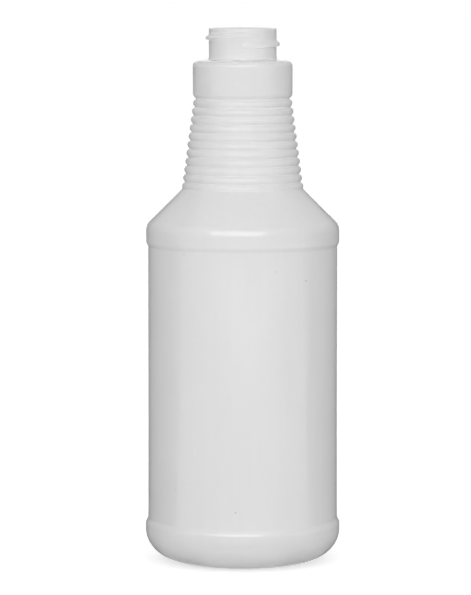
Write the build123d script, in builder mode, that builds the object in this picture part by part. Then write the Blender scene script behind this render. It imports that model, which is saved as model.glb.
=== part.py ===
"""Carafe bottle: a one-piece blow-moulded bottle with a screw neck and a ribbed grip cone.

Millimetres. The bottle stands on z = 0, its axis is Z, and its front is towards -Y.
"""
from math import cos, radians, sin, tan
import os

from build123d import *

os.makedirs("parts", exist_ok=True)

# Overall sizes, with the bands that stand proud of the label panel
overall_height = 197.7
panel_diameter = 70.14
shoulder_step = 0.73
band_step = 0.99

# Neck finish
neck_diameter = 25.0
neck_wall = 2.1
finish_height = 11.75
lip_chamfer = 0.35

# Right-hand screw thread, which fades into the neck at both ends
thread_height = 1.19
thread_pitch = 4.233
thread_drop = 7.05
thread_root_depth = 0.5
thread_crest_width = 0.7
thread_lower_run = 0.35
thread_upper_run = 1.2
thread_start_angle = -93
thread_sweep_angle = 392
thread_fade_angle = 28
thread_steps = 32

# Collar under the neck, which stands proud of the first groove
collar_step = 1.125
collar_height = 14.19
collar_top_radius = 2.2
collar_end_height = 1.7
collar_ceiling = 2.0

# Ribbed grip cone
rib_count = 11
rib_pitch = 3.077
rib_step = 0.421
rib_depth = 0.85
rib_crest_width = 1.05
groove_diameter = 34.62
last_rib_run = 0.75

# Shoulder, with a band that guards the label panel
shoulder_angle = 45.3
shoulder_radius = 5.6
shoulder_band_height = 6.4
shoulder_ledge_height = 1.5

# Base band, heel and recessed base
band_top_height = 13.9
band_ledge_height = 2.2
heel_height = 11.0
heel_reach = 13.5
standing_width = 1.6
recess_depth = 2.0
recess_slope_run = 1.5

# Pinch-off bead, where the mould closed across the base
pinch_length = 30.0
pinch_width = 1.0
pinch_height = 0.4

# Wall
wall = 0.8
grip_wall = 0.9
base_wall = 1.2

# Short flats that each rounding is turned in
collar_flat_count = 2
shoulder_flat_count = 2
heel_flat_count = 7
heel_in_flat_count = 3


def rounding(center, radius_r, radius_z, start, end, flat_count):
    """Outline points round a centre, from one angle above the horizontal to another."""
    angles = [radians(start + (end - start) * n / flat_count) for n in range(flat_count + 1)]
    return [(center[0] + radius_r * cos(a), center[1] + radius_z * sin(a)) for a in angles]


# Radii
neck_r = neck_diameter / 2
bore_r = neck_r - neck_wall
thread_r = neck_r + thread_height
groove_r = groove_diameter / 2
collar_r = groove_r + collar_step
panel_r = panel_diameter / 2
shoulder_r = panel_r + shoulder_step
band_r = panel_r + band_step
standing_r = band_r - heel_reach
recess_r = standing_r - standing_width
plateau_r = recess_r - recess_slope_run

# Collar: rounded at its top edge and bevelled down to the first groove
collar_top_z = overall_height - finish_height
grip_top_z = collar_top_z - collar_height
center = (collar_r - collar_top_radius, collar_top_z - collar_top_radius)
collar_top = rounding(center, collar_top_radius, collar_top_radius, 90, 0, collar_flat_count)

# Ribs: each groove is followed by the two edges of a crest
flank_share = (1 - rib_crest_width / rib_pitch) / 2
ribs = []
for n in range(rib_count):
    rib_r = groove_r + n * rib_step
    rib_z = grip_top_z - n * rib_pitch
    ribs.append((rib_r, rib_z))
    for share in (flank_share, 1 - flank_share):
        ribs.append((rib_r + rib_depth + share * rib_step, rib_z - share * rib_pitch))
grip_end = (ribs[-1][0], ribs[-1][1] - last_rib_run)
ribs[-1] = grip_end

# Shoulder cone, rounded into the upper band, which steps in to the label panel
cone_fall = 1 / tan(radians(shoulder_angle))
shoulder_z = grip_end[1] - (shoulder_r - grip_end[0]) * cone_fall
tangent_run = shoulder_radius * tan(radians(shoulder_angle / 2))
center = (shoulder_r - shoulder_radius, shoulder_z - tangent_run)
shoulder = rounding(center, shoulder_radius, shoulder_radius, shoulder_angle, 0, shoulder_flat_count)
ledge_z = shoulder_z - shoulder_band_height
panel_top_z = ledge_z - shoulder_ledge_height

# Base band and heel
panel_end_z = band_top_height + band_ledge_height
center = (standing_r, heel_height)
heel = rounding(center, heel_reach, heel_height, 0, -90, heel_flat_count)

# The inside is one wall further in, with a plain cone behind the ribs
panel_in_r = panel_r - wall
center = (recess_r, heel_height)
heel_in = rounding(center, panel_in_r - recess_r, heel_height - base_wall, -90, 0, heel_in_flat_count)
grip_in_r = groove_r - grip_wall
ceiling_z = collar_top_z - collar_ceiling
cone_in_z = grip_end[1] - wall / sin(radians(shoulder_angle))
shoulder_in_z = cone_in_z - (panel_in_r - grip_end[0]) * cone_fall

# Where the cone behind the ribs meets the inside of the shoulder cone
grip_slope = rib_step / rib_pitch
cone_gap = grip_top_z - cone_in_z - (grip_end[0] - grip_in_r) * cone_fall
grip_in_run = cone_gap / (1 - grip_slope * cone_fall)
grip_in_end = (grip_in_r + grip_in_run * grip_slope, grip_top_z - grip_in_run)

with BuildPart() as bottle:
    # Half section, down the outside and up the inside, turned about the axis
    with BuildSketch(Plane.XZ):
        with BuildLine():
            Polyline(
                (bore_r, overall_height),
                (neck_r - lip_chamfer, overall_height),
                (neck_r, overall_height - lip_chamfer),
                (neck_r, collar_top_z),
                *collar_top,
                (collar_r, grip_top_z + collar_end_height),
                *ribs,
                *shoulder,
                (shoulder_r, ledge_z),
                (panel_r, panel_top_z),
                (panel_r, panel_end_z),
                (band_r, band_top_height),
                *heel,
                (recess_r, 0),
                (plateau_r, recess_depth),
                (0, recess_depth),
                (0, recess_depth + base_wall),
                (plateau_r, recess_depth + base_wall),
                *heel_in,
                (panel_in_r, shoulder_in_z),
                grip_in_end,
                (grip_in_r, grip_top_z),
                (grip_in_r, ceiling_z),
                (bore_r, ceiling_z),
                close=True,
            )
        make_face()
    revolve(axis=Axis.Z)

    # Pinch-off bead across the recessed base, rooted in its wall
    with BuildSketch(Plane.XY.offset(recess_depth - pinch_height)):
        Rectangle(pinch_length, pinch_width)
    extrude(amount=pinch_height + base_wall / 2)

    # Screw thread, lofted through sections set round the neck
    root_r = neck_r - thread_root_depth
    sunk_r = neck_r - thread_root_depth / 2
    crest_half = thread_crest_width / 2
    root_share = 1 + thread_root_depth / thread_height
    upper_root = crest_half + thread_upper_run * root_share
    lower_root = crest_half + thread_lower_run * root_share
    for n in range(thread_steps + 1):
        turned = thread_sweep_angle * n / thread_steps
        angle = radians(thread_start_angle + turned)
        crest_z = overall_height - thread_drop + thread_pitch * turned / 360
        grown_share = min(thread_fade_angle, turned, thread_sweep_angle - turned) / thread_fade_angle
        crest_r = sunk_r + (thread_r - sunk_r) * sin(radians(90 * grown_share))
        outward = (cos(angle), sin(angle), 0)
        facing = (sin(angle), -cos(angle), 0)
        with BuildSketch(Plane((0, 0, crest_z), x_dir=outward, z_dir=facing)):
            with BuildLine():
                Polyline(
                    (crest_r, crest_half),
                    (root_r, upper_root),
                    (root_r, -lower_root),
                    (crest_r, -crest_half),
                    close=True,
                )
            make_face()
    loft(ruled=True)

bottle.part.label = "bottle"
export_step(bottle.part, "parts/bottle.step")
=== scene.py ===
"""Looks of the carafe bottle: its rounded skin in milky natural polyethylene, in a white studio.

The bottle stands on z = 0, its axis is Z, and its front is towards -Y. Its sizes below are millimetres
in the part's frame. The studio's sizes are metres, as in Blender.
"""
from math import acos, atan2, ceil, cos, hypot, pi, radians, sin, tan

import bpy
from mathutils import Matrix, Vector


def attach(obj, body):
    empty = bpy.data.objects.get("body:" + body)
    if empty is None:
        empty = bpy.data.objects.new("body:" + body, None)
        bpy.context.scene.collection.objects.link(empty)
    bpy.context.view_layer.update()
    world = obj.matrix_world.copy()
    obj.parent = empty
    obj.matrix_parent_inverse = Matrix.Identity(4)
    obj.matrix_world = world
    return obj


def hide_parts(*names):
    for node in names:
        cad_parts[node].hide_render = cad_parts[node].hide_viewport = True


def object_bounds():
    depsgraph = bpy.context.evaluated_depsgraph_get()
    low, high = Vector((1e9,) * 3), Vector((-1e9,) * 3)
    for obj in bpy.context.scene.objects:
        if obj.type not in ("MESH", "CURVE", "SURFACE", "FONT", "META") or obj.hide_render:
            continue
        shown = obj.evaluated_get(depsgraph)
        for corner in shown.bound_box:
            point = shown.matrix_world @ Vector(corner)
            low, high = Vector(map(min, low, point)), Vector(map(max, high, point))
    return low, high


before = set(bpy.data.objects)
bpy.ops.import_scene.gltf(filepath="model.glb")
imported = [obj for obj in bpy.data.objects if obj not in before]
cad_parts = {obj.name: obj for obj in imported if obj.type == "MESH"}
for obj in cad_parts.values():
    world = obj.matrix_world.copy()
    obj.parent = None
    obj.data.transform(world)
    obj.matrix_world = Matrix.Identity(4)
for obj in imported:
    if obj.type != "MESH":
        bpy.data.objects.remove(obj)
cad_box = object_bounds()

MM = 0.001
overall_height = cad_box[1].z / MM
band_r = cad_box[1].x / MM

# Neck finish
neck_r = 12.5
lip_radius = 0.35
bore_edge_radius = 0.3
neck_root_radius = 0.7

# Right-hand screw thread, which fades into the neck at both ends
thread_height = 1.19
thread_pitch = 4.233
thread_drop = 7.05
thread_crest_width = 0.7
thread_lower_run = 0.4
thread_upper_run = 1.5
thread_start_angle = -93
thread_sweep_angle = 392
thread_fade_angle = 28

# Collar, with a sloping top and a little taper
finish_height = 11.6
collar_slope_drop = 0.45
collar_top_r = 18.43
collar_end_r = 18.36
collar_top_radius = 2.2
collar_end_height = 0.9
collar_end_radius = 2.3

# Ribbed grip cone
grip_top_drop = 25.94
groove_r = 17.29
rib_count = 11
rib_pitch = 3.077
rib_step = 0.413
rib_depth = 0.8
rib_flank_angle = 53
groove_radius = 0.22
dip_radius = 0.3

# Shoulder cone and the band above the label panel
shoulder_angle = 45.3
cone_start_r = 22.35
cone_start_drop = 59.2
shoulder_r = 35.8
shoulder_radius = 5.6
ledge_drop = 79.05
ledge_flank_angle = 26
ledge_radius = 2.0
ledge_root_radius = 0.5

# Label panel, which flares a little above the base band
panel_r = 35.07
panel_end_z = 15.85
panel_flare = 0.08
panel_flare_height = 4.0
panel_flare_radius = 60
band_root_radius = 0.5
band_flank_angle = 30
band_radius = 2.8

# Heel and recessed base
heel_height = 11.6
heel_reach = 14.4
standing_width = 1.0
recess_depth = 2.0
recess_slope_run = 1.2
recess_edge_radius = 0.5

# Pinch-off bead across the base
pinch_length = 30.0
pinch_width = 1.0
pinch_height = 0.4
pinch_root_depth = 0.3
pinch_end_share = 0.02
pinch_fullness = 0.7

# Parting line, which runs up both sides
parting_height = 0.05
parting_angles = (-0.7, -0.3, 0, 0.3, 0.7)

# Wall, which follows the outside and is thicker in the neck and the base
wall = 0.8
neck_wall = 2.1
base_wall = 1.2
least_inner_radius = 0.15

# Fineness and smoothing of the skin
column_count = 168
outer_tolerance = 0.008
inner_tolerance = 0.02
thread_row_height = 0.14
heel_steps = 20
pinch_length_steps = 48
pinch_round_steps = 10
normal_weight = 80

# Natural polyethylene, with noises given as scale, detail and stretch
refraction_index = 1.53
dark_grey = 0.86
pale_grey = 0.89
dark_stop = 0.3
pale_stop = 0.7
cloud_noise = (45, 3, (1, 1, 0.4))
streak_noise = (420, 2, (1, 1, 0.02))
grain_noise = (1400, 2, (1, 1, 1))
streak_share = 0.35
speck_grey = 0.5
speck_spacing = 13.0
speck_radius = 0.4
scatter_length = 0.8
scatter_tint = (1.0, 0.96, 0.92)
base_roughness = 0.75
roughness_swing = 0.04
base_specular = 0.3
coat_roughness = 0.08
bump_strength = 0.25
bump_depth = 0.02

# Surround and floor
ambient_horizon = 0.55
ambient_zenith = 0.71
floor_half_width = 3
floor_grey = 0.7
floor_glow = 0.6

# Low light in front, which no gloss shows
fill_azimuth = 0
fill_elevation = 1
fill_distance = 1.2
fill_width = 1.5
fill_height = 0.26
fill_radiance = 3.75

# Tall light in front, which gloss alone shows
strip_azimuth = -6
strip_elevation = 25
strip_distance = 2.0
strip_width = 2.4
strip_height = 1.3
strip_radiance = 3.3

# Cards round the bottle, which gloss alone shows: angles from behind it, sweeps of distances and heights
card_steps = 12
flag_inner = 14
flag_outer = 100
flag_grey = 0.16
flag_sweep = ((0.028, 0.0005), (0.4, 0.0005), (0.5, 0.1), (0.55, 0.28))
screen_grey = 0.5
screen_sweep = ((0.55, 0.28), (0.55, 0.9))
near_outer = 150
near_grey = 0.45
near_sweep = ((0.028, 0.0005), (0.11, 0.0005))
front_grey = 0.1
front_sweep = ((0.045, 0.0005), (0.1, 0.0005))

# Camera, with its picture in pixels, its sensor in millimetres and its place in metres
image_height = 595
focal_pixels = 3563
sensor_width = 36
view_distance = 1.317
eye_height = 0.21899
down_angle = 5.2517
left_angle = 0.1158


def direction(a, b):
    """Direction from one outline point to another."""
    length = hypot(b[0] - a[0], b[1] - a[1])
    return (b[0] - a[0]) / length, (b[1] - a[1]) / length


def rounded(corner, before, after, radius, tolerance):
    """Arc that rounds a corner between the points before and after it."""
    back = direction(corner, before)
    ahead = direction(corner, after)
    opening = acos(max(-1, min(1, back[0] * ahead[0] + back[1] * ahead[1])))
    middle = (back[0] + ahead[0], back[1] + ahead[1])
    reach = radius / sin(opening / 2) / hypot(*middle)
    center = (corner[0] + middle[0] * reach, corner[1] + middle[1] * reach)
    tangent = radius / tan(opening / 2)

    def bearing(side):
        """Angle at which the arc's end on this side is seen from the centre."""
        return atan2(corner[1] + side[1] * tangent - center[1], corner[0] + side[0] * tangent - center[0])

    start = bearing(back)
    turn = (bearing(ahead) - start + pi) % (2 * pi) - pi
    steps = max(2, ceil(abs(turn) / (2 * acos(1 - tolerance / radius))))
    angles = [start + turn * n / steps for n in range(steps + 1)]
    return [(center[0] + radius * cos(a), center[1] + radius * sin(a)) for a in angles]


def outline(corners, tolerance):
    """Outline through corners given as (r, z) or (r, z, rounding radius)."""
    points = []
    for n, corner in enumerate(corners):
        if len(corner) == 2:
            points.append(corner)
        else:
            points += rounded(corner[:2], corners[n - 1][:2], corners[n + 1][:2], corner[2], tolerance)
    return points


def below_lip(drop):
    """Height above the base of what lies this far below the lip."""
    return overall_height - drop


def rib_corners():
    """Crest and groove corners of the grip, from its lowest crest up to its first groove."""
    half_chord = hypot(rib_pitch, rib_step) / 2
    tilt = atan2(rib_step, rib_pitch)
    flank = radians(rib_flank_angle)
    corner_gain = 1 / cos(flank) - 1
    crest_radius = (half_chord * tan(flank) - rib_depth) / corner_gain - groove_radius
    crest_rise = rib_depth - crest_radius
    sink = groove_radius * corner_gain
    corners = []
    for n in reversed(range(rib_count)):
        center_r = groove_r + (n + 0.5) * rib_step + crest_rise * cos(tilt)
        center_z = below_lip(grip_top_drop + (n + 0.5) * rib_pitch) + crest_rise * sin(tilt)
        upper = tilt + flank
        lower = tilt - flank
        if n == rib_count - 1:
            dip = (cone_start_r - center_r, below_lip(cone_start_drop) - center_z)
            lower = atan2(dip[1], dip[0]) + acos(crest_radius / hypot(*dip))
        middle = (upper + lower) / 2
        reach = crest_radius / cos((upper - lower) / 2)
        corners.append((center_r + reach * cos(middle), center_z + reach * sin(middle), crest_radius))
        groove_z = below_lip(grip_top_drop + n * rib_pitch) - sink * sin(tilt)
        corners.append((groove_r + n * rib_step - sink * cos(tilt), groove_z, groove_radius))
    return corners


def outer_corners():
    """Corners of the outside, from the middle of the base up to the neck."""
    standing_r = band_r - heel_reach
    recess_r = standing_r - standing_width
    plateau_r = recess_r - recess_slope_run
    heel_turns = [radians(90 * n / heel_steps) for n in range(heel_steps + 1)]
    heel = [(standing_r + heel_reach * sin(a), heel_height * (1 - cos(a))) for a in heel_turns]
    flare_r = panel_r + panel_flare
    band_rise = (band_r - flare_r) / tan(radians(band_flank_angle))
    ledge_rise = (shoulder_r - panel_r) / tan(radians(ledge_flank_angle))
    cone_fall = 1 / tan(radians(shoulder_angle))
    shoulder_z = below_lip(cone_start_drop) - (shoulder_r - cone_start_r) * cone_fall
    return [
        (0, recess_depth),
        (plateau_r, recess_depth, recess_edge_radius),
        (recess_r, 0, recess_edge_radius),
        *heel,
        (band_r, panel_end_z - band_rise, band_radius),
        (flare_r, panel_end_z, band_root_radius),
        (panel_r, panel_end_z + panel_flare_height, panel_flare_radius),
        (panel_r, below_lip(ledge_drop) - ledge_rise, ledge_root_radius),
        (shoulder_r, below_lip(ledge_drop), ledge_radius),
        (shoulder_r, shoulder_z, shoulder_radius),
        (cone_start_r, below_lip(cone_start_drop), dip_radius),
        *rib_corners(),
        (collar_end_r, below_lip(grip_top_drop) + collar_end_height, collar_end_radius),
        (collar_top_r, below_lip(finish_height + collar_slope_drop), collar_top_radius),
        (neck_r, below_lip(finish_height), neck_root_radius),
        (neck_r, overall_height),
    ]


def inset(corners, walls):
    """Corners of a skin that lies behind these: walls holds the thickness behind each straight run."""
    lines = []
    for a, b, thickness in zip(corners, corners[1:], walls):
        along = direction(a, b)
        lines.append((a[0] - along[1] * thickness, a[1] + along[0] * thickness, *along))
    moved = [(0, lines[0][1])]
    for corner, (r1, z1, u1, v1), (r2, z2, u2, v2) in zip(corners[1:], lines, lines[1:]):
        turn = u1 * v2 - v1 * u2
        run = ((r2 - r1) * v2 - (z2 - z1) * u2) / turn
        place = (r1 + u1 * run, z1 + v1 * run)
        if len(corner) == 3:
            radius = corner[2] - wall if turn > 0 else corner[2] + wall
            place += (max(least_inner_radius, radius),)
        moved.append(place)
    return moved


def inner_corners():
    """Corners of the lip and the inside, from the neck down to the middle of the base."""
    outer = outer_corners()
    walls = [wall] * (len(outer) - 1)
    walls[0] = base_wall
    walls[-1] = neck_wall
    bore_r = neck_r - neck_wall
    return [
        (neck_r, below_lip(finish_height)),
        (neck_r, overall_height, lip_radius),
        (bore_r, overall_height, bore_edge_radius),
        *reversed(inset(outer, walls)),
    ]


def thread_lift(angle, z):
    """How far the thread stands out of the neck at an angle in degrees and a height."""
    lift = 0
    turned = (angle - thread_start_angle) % 360
    while turned <= thread_sweep_angle:
        above = z - below_lip(thread_drop) - thread_pitch * turned / 360
        run = thread_upper_run if above > 0 else thread_lower_run
        share = (thread_crest_width / 2 + run - abs(above)) / run
        share = max(0, min(1, share))
        grown = min(thread_fade_angle, turned, thread_sweep_angle - turned) / thread_fade_angle
        lift = max(lift, thread_height * sin(pi / 2 * grown) * share * share * (3 - 2 * share))
        turned += 360
    return lift


def parting_lift(angle):
    """How far the parting line stands out at an angle in degrees."""
    away = abs((angle + 90) % 180 - 90) / parting_angles[-1]
    return parting_height * max(0, 1 - away ** 2) ** 2


def column_angles():
    """Angles round the axis in degrees, closer together at the two parting lines."""
    angles = {360 * n / column_count for n in range(column_count)}
    for side in (0, 180):
        angles.update((side + a) % 360 for a in parting_angles)
    return sorted(angles)


def turned_rows():
    """Rows of points round the axis, up the outside and down the inside, and the heights of both ends."""
    angles = column_angles()
    outer = outline(outer_corners(), outer_tolerance)[:-1]
    inner = outline(inner_corners(), inner_tolerance)[1:]
    neck_low = outer[-1][1]
    neck_high = inner[0][1]
    neck_count = ceil((neck_high - neck_low) / thread_row_height)
    neck = [neck_low + (neck_high - neck_low) * n / neck_count for n in range(1, neck_count)]
    rows = [[(min(r + parting_lift(a), band_r), z, a) for a in angles] for r, z in outer[1:]]
    rows += [[(neck_r + thread_lift(a, z), z, a) for a in angles] for z in neck]
    rows += [[(r, z, a) for a in angles] for r, z in inner[:-1]]
    return rows, outer[0][1], inner[-1][1]


def point(r, z, angle):
    """A skin point in metres."""
    return r * cos(radians(angle)) * MM, r * sin(radians(angle)) * MM, z * MM


def new_mesh(name, verts, faces):
    """A mesh from its points and faces."""
    mesh = bpy.data.meshes.new(name)
    mesh.from_pydata(verts, [], faces)
    return mesh


def new_object(name, data):
    """An object that is linked to the scene."""
    item = bpy.data.objects.new(name, data)
    bpy.context.scene.collection.objects.link(item)
    return item


def new_piece(name, verts, faces):
    """A smooth-shaded piece of the bottle."""
    mesh = new_mesh(name, verts, faces)
    mesh.validate()
    mesh.shade_smooth()
    piece = new_object(name, mesh)
    smoothing = piece.modifiers.new("even_normals", "WEIGHTED_NORMAL")
    smoothing.weight = normal_weight
    return piece


def bottle_mesh():
    """The bottle's closed skin: outside, lip and inside in one."""
    rows, base_z, floor_z = turned_rows()
    columns = len(rows[0])
    verts = [point(*p) for row in rows for p in row]
    verts += [(0, 0, base_z * MM), (0, 0, floor_z * MM)]
    base_pole = len(verts) - 2
    floor_pole = len(verts) - 1
    last = (len(rows) - 1) * columns
    faces = []
    for c in range(columns):
        d = (c + 1) % columns
        faces.append((base_pole, d, c))
        for n in range(0, last, columns):
            faces.append((n + c, n + d, n + columns + d, n + columns + c))
        faces.append((last + c, last + d, floor_pole))
    return new_piece("bottle_skin", verts, faces)


def pinch_mesh():
    """The pinch-off bead: a low rounded ridge that eases off at both ends."""
    root_z = recess_depth + pinch_root_depth
    verts, faces = [], []
    for i in range(pinch_length_steps + 1):
        x = pinch_length * (i / pinch_length_steps - 0.5)
        ease = min(1, (pinch_length / 2 - abs(x)) / pinch_width)
        size = sin(pi / 2 * max(pinch_end_share, ease))
        for j in range(pinch_round_steps):
            a = 2 * pi * j / pinch_round_steps
            drop = pinch_height * size * max(0, cos(a)) ** pinch_fullness
            z = recess_depth - drop if cos(a) > 0 else root_z
            verts.append((x * MM, pinch_width / 2 * size * sin(a) * MM, z * MM))
    end = pinch_length_steps * pinch_round_steps
    for near in range(0, end, pinch_round_steps):
        far = near + pinch_round_steps
        for j in range(pinch_round_steps):
            k = (j + 1) % pinch_round_steps
            faces.append((near + j, near + k, far + k, far + j))
    faces.append(tuple(reversed(range(pinch_round_steps))))
    faces.append(tuple(range(end, len(verts))))
    return new_piece("pinch_off_bead", verts, faces)


def math_node(nodes, links, operation, first, second):
    """Output of a math node that joins two outputs."""
    node = nodes.new("ShaderNodeMath")
    node.operation = operation
    links.new(first, node.inputs[0])
    links.new(second, node.inputs[1])
    return node.outputs["Value"]


def natural_polyethylene():
    """Milky natural polyethylene: cloudy, softly scattering, with a fine moulded skin."""
    material = bpy.data.materials.new("natural_polyethylene")
    material.use_nodes = True
    nodes, links = material.node_tree.nodes, material.node_tree.links
    shader = nodes["Principled BSDF"]
    shader.subsurface_method = "BURLEY"
    shader.inputs["IOR"].default_value = refraction_index
    shader.inputs["Subsurface Weight"].default_value = 1
    shader.inputs["Subsurface Radius"].default_value = scatter_tint
    shader.inputs["Subsurface Scale"].default_value = scatter_length * MM
    shader.inputs["Coat Weight"].default_value = 1
    shader.inputs["Coat Roughness"].default_value = coat_roughness
    shader.inputs["Specular IOR Level"].default_value = base_specular

    place = nodes.new("ShaderNodeTexCoord")

    def noise(scale, detail, stretch):
        """Noise in the bottle's own frame."""
        mapping = nodes.new("ShaderNodeMapping")
        mapping.inputs["Scale"].default_value = stretch
        links.new(place.outputs["Object"], mapping.inputs["Vector"])
        texture = nodes.new("ShaderNodeTexNoise")
        texture.inputs["Scale"].default_value = scale
        texture.inputs["Detail"].default_value = detail
        links.new(mapping.outputs["Vector"], texture.inputs["Vector"])
        return texture.outputs["Fac"]

    cloud = noise(*cloud_noise)
    streaks = noise(*streak_noise)
    grain = noise(*grain_noise)

    # Colour: clouds and flow streaks, with a few faint specks
    blend = nodes.new("ShaderNodeMix")
    blend.inputs["Factor"].default_value = streak_share
    links.new(cloud, blend.inputs["A"])
    links.new(streaks, blend.inputs["B"])
    cells = nodes.new("ShaderNodeTexVoronoi")
    cells.inputs["Scale"].default_value = 1 / (speck_spacing * MM)
    links.new(place.outputs["Object"], cells.inputs["Vector"])
    clear = nodes.new("ShaderNodeMapRange")
    clear.inputs["From Min"].default_value = speck_radius / speck_spacing / 2
    clear.inputs["From Max"].default_value = speck_radius / speck_spacing
    links.new(cells.outputs["Distance"], clear.inputs["Value"])
    specked = math_node(nodes, links, "MULTIPLY", blend.outputs["Result"], clear.outputs["Result"])
    tint = nodes.new("ShaderNodeValToRGB")
    ramp = tint.color_ramp.elements
    ramp.new(dark_stop)
    for step, grey in zip(ramp, (speck_grey, dark_grey, pale_grey)):
        step.color = (grey, grey, grey, 1)
    ramp[2].position = pale_stop
    links.new(specked, tint.inputs["Fac"])
    links.new(tint.outputs["Color"], shader.inputs["Base Color"])

    # Roughness that changes with the clouds
    gloss = nodes.new("ShaderNodeMapRange")
    gloss.inputs["To Min"].default_value = base_roughness - roughness_swing
    gloss.inputs["To Max"].default_value = base_roughness + roughness_swing
    links.new(cloud, gloss.inputs["Value"])
    links.new(gloss.outputs["Result"], shader.inputs["Roughness"])

    # Fine unevenness of the moulded skin
    bump = nodes.new("ShaderNodeBump")
    bump.inputs["Strength"].default_value = bump_strength
    bump.inputs["Distance"].default_value = bump_depth * MM
    links.new(math_node(nodes, links, "ADD", streaks, grain), bump.inputs["Height"])
    links.new(bump.outputs["Normal"], shader.inputs["Normal"])
    return material


def seen_white(nodes, links):
    """One for rays that show the white background: camera, glossy and transmission rays."""
    path = nodes.new("ShaderNodeLightPath").outputs
    either = math_node(nodes, links, "MAXIMUM", path["Is Camera Ray"], path["Is Glossy Ray"])
    return math_node(nodes, links, "MAXIMUM", either, path["Is Transmission Ray"])


def studio_world():
    """A grey surround, paler overhead, that is seen as white."""
    world = bpy.data.worlds.new("studio")
    bpy.context.scene.world = world
    world.use_nodes = True
    nodes, links = world.node_tree.nodes, world.node_tree.links
    ambient = nodes["Background"]
    ambient.inputs["Color"].default_value = (1, 1, 1, 1)
    place = nodes.new("ShaderNodeTexCoord")
    part = nodes.new("ShaderNodeSeparateXYZ")
    links.new(place.outputs["Generated"], part.inputs["Vector"])
    level = nodes.new("ShaderNodeMapRange")
    level.inputs["To Min"].default_value = ambient_horizon
    level.inputs["To Max"].default_value = ambient_zenith
    links.new(part.outputs["Z"], level.inputs["Value"])
    links.new(level.outputs["Result"], ambient.inputs["Strength"])
    white = nodes.new("ShaderNodeBackground")
    white.inputs["Color"].default_value = (1, 1, 1, 1)
    white.inputs["Strength"].default_value = 1
    mix = nodes.new("ShaderNodeMixShader")
    links.new(seen_white(nodes, links), mix.inputs["Fac"])
    links.new(ambient.outputs["Background"], mix.inputs[1])
    links.new(white.outputs["Background"], mix.inputs[2])
    links.new(mix.outputs["Shader"], nodes["World Output"].inputs["Surface"])


def glowing(name, grey):
    """A material of one grey with no gloss and a white glow, with its nodes, links and shader."""
    material = bpy.data.materials.new(name)
    material.use_nodes = True
    nodes, links = material.node_tree.nodes, material.node_tree.links
    shader = nodes["Principled BSDF"]
    shader.inputs["Base Color"].default_value = (grey, grey, grey, 1)
    shader.inputs["Roughness"].default_value = 1
    shader.inputs["Specular IOR Level"].default_value = 0
    shader.inputs["Emission Color"].default_value = (1, 1, 1, 1)
    return material, nodes, links, shader


def white_floor():
    """A pale floor that keeps the bottle's shadow."""
    half = floor_half_width
    verts = [(-half, -half, 0), (half, -half, 0), (half, half, 0), (-half, half, 0)]
    mesh = new_mesh("floor", verts, [(0, 1, 2, 3)])
    floor = new_object("floor", mesh)
    material, nodes, links, shader = glowing("floor_white", floor_grey)
    strength = nodes.new("ShaderNodeMath")
    strength.operation = "MULTIPLY"
    strength.inputs[1].default_value = floor_glow
    links.new(seen_white(nodes, links), strength.inputs[0])
    links.new(strength.outputs["Value"], shader.inputs["Emission Strength"])
    mesh.materials.append(material)


def softbox(name, azimuth, elevation, distance, width, height, radiance):
    """An area light that faces the bottle's middle, at an azimuth from the front."""
    light = bpy.data.lights.new(name, "AREA")
    light.shape = "RECTANGLE"
    light.size = width
    light.size_y = height
    light.energy = radiance * pi * width * height
    lamp = new_object(name, light)
    across = distance * cos(radians(elevation))
    lamp.location = (
        across * sin(radians(azimuth)),
        -across * cos(radians(azimuth)),
        overall_height / 2 * MM + distance * sin(radians(elevation)),
    )
    lamp.rotation_euler = (radians(90 - elevation), 0, radians(azimuth))
    lamp.visible_camera = False
    return lamp


def card(name, start, end, sweep, glow):
    """A curved card round part of the bottle, which only the bottle's gloss shows.

    Its angles are taken clockwise from behind the bottle, and its sweep is distances and heights.
    """
    verts, faces = [], []
    across = len(sweep)
    for n in range(card_steps + 1):
        angle = radians(start + (end - start) * n / card_steps)
        verts += [(d * sin(angle), d * cos(angle), z) for d, z in sweep]
    for n in range(card_steps):
        for k in range(n * across, n * across + across - 1):
            faces.append((k, k + across, k + across + 1, k + 1))
    mesh = new_mesh(name, verts, faces)
    piece = new_object(name, mesh)
    material, _, _, shader = glowing(name, 0)
    shader.inputs["Emission Strength"].default_value = glow
    mesh.materials.append(material)
    piece.visible_camera = False
    piece.visible_diffuse = False
    piece.visible_transmission = False
    piece.visible_shadow = False


def photo_camera():
    """A long lens a little above the lip, which looks slightly down at the bottle."""
    data = bpy.data.cameras.new("camera")
    data.sensor_width = sensor_width
    data.lens = focal_pixels / image_height * sensor_width
    camera = new_object("camera", data)
    camera.location = (0, -view_distance, eye_height)
    camera.rotation_euler = (radians(90 - down_angle), 0, radians(left_angle))
    bpy.context.scene.camera = camera


bpy.context.scene.view_settings.view_transform = "Standard"
plastic = natural_polyethylene()
bottle = bottle_mesh()
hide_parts("bottle")
for piece in (bottle, pinch_mesh()):
    piece.data.materials.append(plastic)
    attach(piece, "root")

studio_world()
white_floor()
fill = softbox("fill", fill_azimuth, fill_elevation, fill_distance, fill_width, fill_height, fill_radiance)
fill.visible_glossy = False
strip = softbox(
    "strip", strip_azimuth, strip_elevation, strip_distance, strip_width, strip_height, strip_radiance
)
strip.visible_diffuse = False
for side, start, end in (("right", flag_inner, flag_outer), ("left", -flag_outer, -flag_inner)):
    card("flag_" + side, start, end, flag_sweep, flag_grey)
    card("screen_" + side, start, end, screen_sweep, screen_grey)
card("near_right", flag_outer, near_outer, near_sweep, near_grey)
card("near_left", -near_outer, -flag_outer, near_sweep, near_grey)
card("near_front", near_outer, 360 - near_outer, front_sweep, front_grey)
photo_camera()
